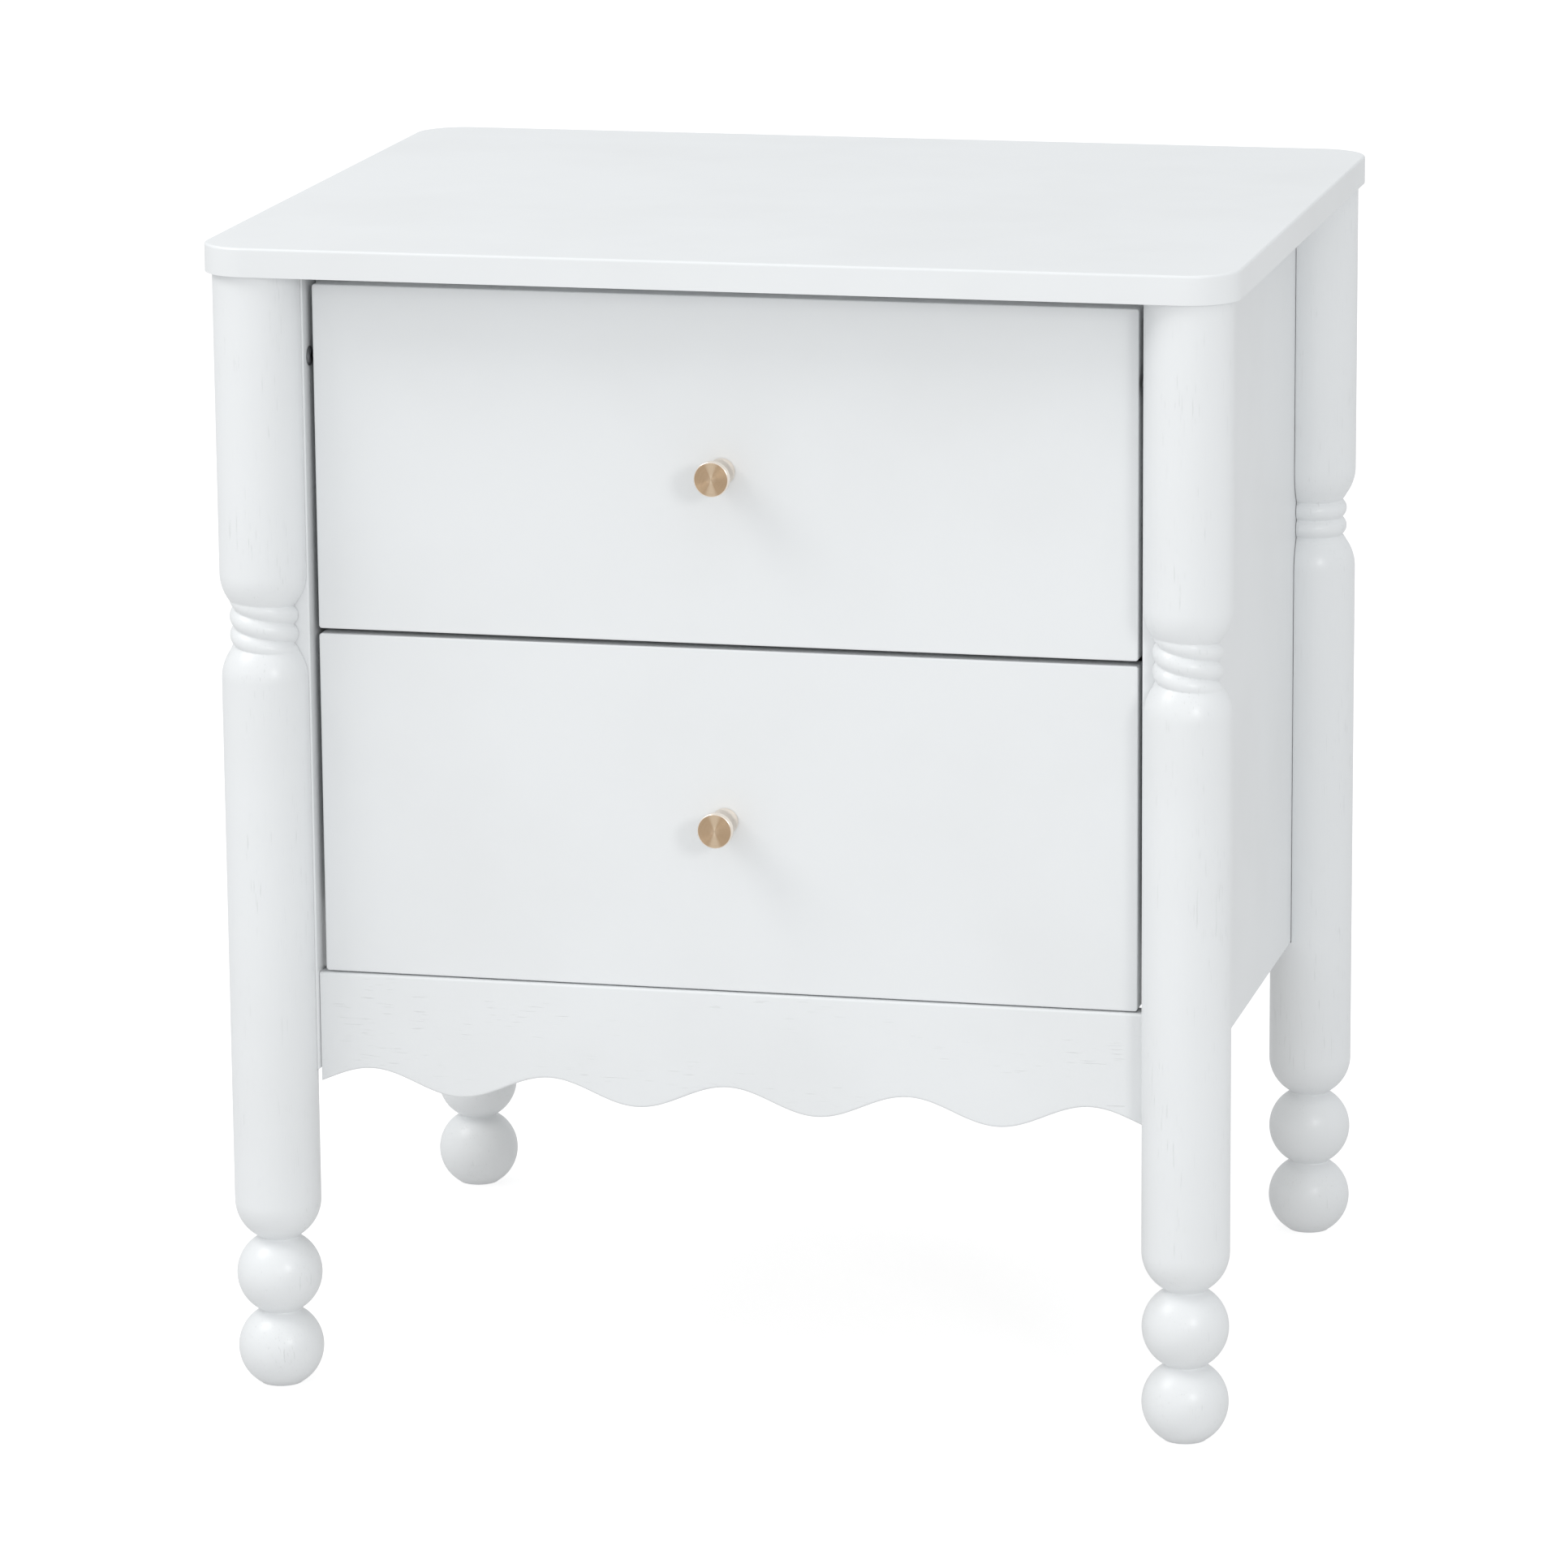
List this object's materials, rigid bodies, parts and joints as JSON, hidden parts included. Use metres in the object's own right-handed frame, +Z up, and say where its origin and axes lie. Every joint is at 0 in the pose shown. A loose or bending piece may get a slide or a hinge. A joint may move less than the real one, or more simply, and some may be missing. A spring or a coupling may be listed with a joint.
{
  "type": "nightstand with drawers",
  "caption": "White nightstand with flush slab drawers on runners, round turned corner legs, side panels let into the legs and a scalloped front apron.",
  "frame": {"origin": "on the floor, under the middle of the top board", "axes": "+Z up, drawer fronts towards -Y, +X to the right as seen from the front"},
  "size_m": [0.538, 0.445, 0.61],
  "materials": {
    "white_paint": "satin white paint over wood",
    "drawer_board": "matt off-white lining board",
    "zinc_steel": "zinc plated",
    "brushed_brass": "brushed champagne brass"
  },
  "bodies": {
    "cabinet": {"apron": "white_paint", "back_panel": "white_paint", "bolt_upper_front_left": "zinc_steel", "bolt_upper_front_right": "zinc_steel", "bolt_upper_rear_left": "zinc_steel", "bolt_upper_rear_right": "zinc_steel", "leg_front_left": "white_paint", "leg_front_right": "white_paint", "leg_rear_left": "white_paint", "leg_rear_right": "white_paint", "lower_runner_outer_left": "zinc_steel", "lower_runner_outer_right": "zinc_steel", "side_panel_left": "white_paint", "side_panel_right": "white_paint", "top_board": "white_paint", "top_front_rail": "white_paint", "upper_runner_outer_left": "zinc_steel", "upper_runner_outer_right": "zinc_steel"},
    "upper_drawer": {"upper_back": "drawer_board", "upper_bottom": "drawer_board", "upper_front": "white_paint", "upper_knob": "brushed_brass", "upper_knob_screw": "zinc_steel", "upper_runner_inner_left": "zinc_steel", "upper_runner_inner_right": "zinc_steel", "upper_side_left": "drawer_board", "upper_side_right": "drawer_board"},
    "upper_runners": {"upper_runner_middle_left": "zinc_steel", "upper_runner_middle_right": "zinc_steel"},
    "lower_drawer": {"lower_back": "drawer_board", "lower_bottom": "drawer_board", "lower_front": "white_paint", "lower_knob": "brushed_brass", "lower_knob_screw": "zinc_steel", "lower_runner_inner_left": "zinc_steel", "lower_runner_inner_right": "zinc_steel", "lower_side_left": "drawer_board", "lower_side_right": "drawer_board"},
    "lower_runners": {"lower_runner_middle_left": "zinc_steel", "lower_runner_middle_right": "zinc_steel"}
  },
  "joints": [
    {"name": "upper_drawer_slide", "type": "slide", "parent": "cabinet", "child": "upper_drawer", "axis": [0, -1, 0], "range_m": [0, 0.33]},
    {"name": "upper_runner_slide", "type": "slide", "parent": "cabinet", "child": "upper_runners", "axis": [0, -1, 0], "range_m": [0, 0.165]},
    {"name": "lower_drawer_slide", "type": "slide", "parent": "cabinet", "child": "lower_drawer", "axis": [0, -1, 0], "range_m": [0, 0.33]},
    {"name": "lower_runner_slide", "type": "slide", "parent": "cabinet", "child": "lower_runners", "axis": [0, -1, 0], "range_m": [0, 0.165]}
  ],
  "couplings": [
    {"joint": "upper_runner_slide", "follows": "upper_drawer_slide", "ratio": 0.5},
    {"joint": "lower_runner_slide", "follows": "lower_drawer_slide", "ratio": 0.5}
  ]
}
